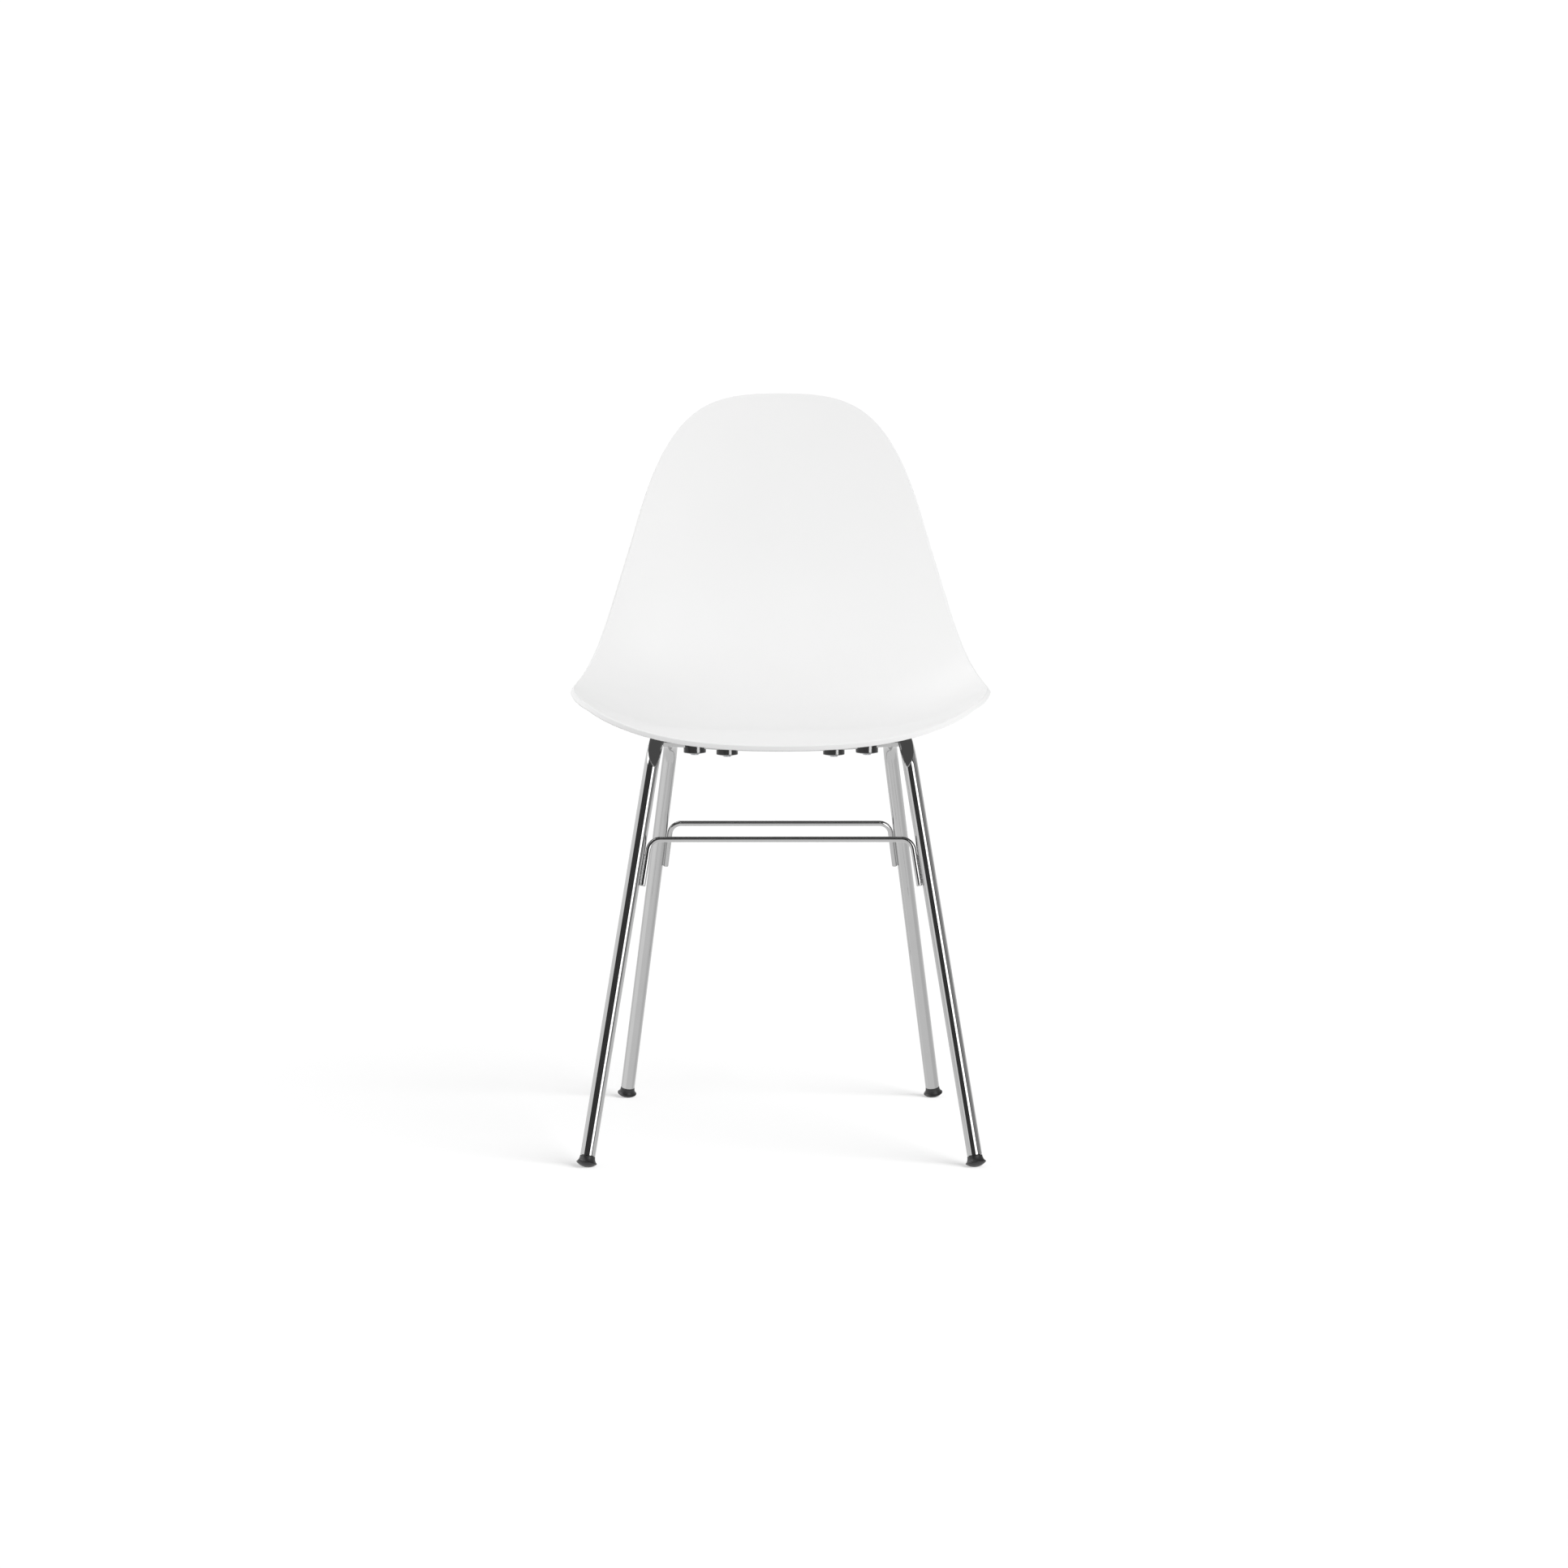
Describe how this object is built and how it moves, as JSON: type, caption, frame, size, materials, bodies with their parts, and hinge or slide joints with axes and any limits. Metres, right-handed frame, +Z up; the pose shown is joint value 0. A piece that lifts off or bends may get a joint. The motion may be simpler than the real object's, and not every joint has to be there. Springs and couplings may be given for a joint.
{
  "type": "stacking side chair",
  "caption": "Stacking side chair: a moulded seat shell on a chromed steel tube frame with bent-rod stretchers, stacking pads and foot glides.",
  "frame": {"origin": "on the floor, at the middle of the chair's bounding box in X and Y", "axes": "+Z up; the chair faces -Y; +X towards the left hand of a person sitting on it"},
  "size_m": [0.4656, 0.4915, 0.8204],
  "materials": {
    "shell": "white moulded polypropylene, satin",
    "chrome": "bright chromed steel",
    "glide": "black moulded plastic",
    "pad": "black rubber, slightly shiny",
    "screw": "zinc plated",
    "insert": "plain"
  },
  "bodies": {
    "root": {"seat_shell": "shell", "side_tube_left": "chrome", "side_tube_right": "chrome", "front_stretcher": "chrome", "rear_stretcher": "chrome", "front_strap": "chrome", "rear_strap": "chrome", "foot_glide_front_left": "glide", "foot_glide_front_right": "glide", "foot_glide_rear_left": "glide", "foot_glide_rear_right": "glide", "stacking_pad_front_left": "pad", "stacking_pad_front_right": "pad", "stacking_pad_rear_left": "pad", "stacking_pad_rear_right": "pad", "pad_screw_front_left": "screw", "pad_screw_front_right": "screw", "pad_screw_rear_left": "screw", "pad_screw_rear_right": "screw", "threaded_insert_front_left": "insert", "threaded_insert_front_right": "insert", "threaded_insert_rear_left": "insert", "threaded_insert_rear_right": "insert"}
  },
  "joints": []
}
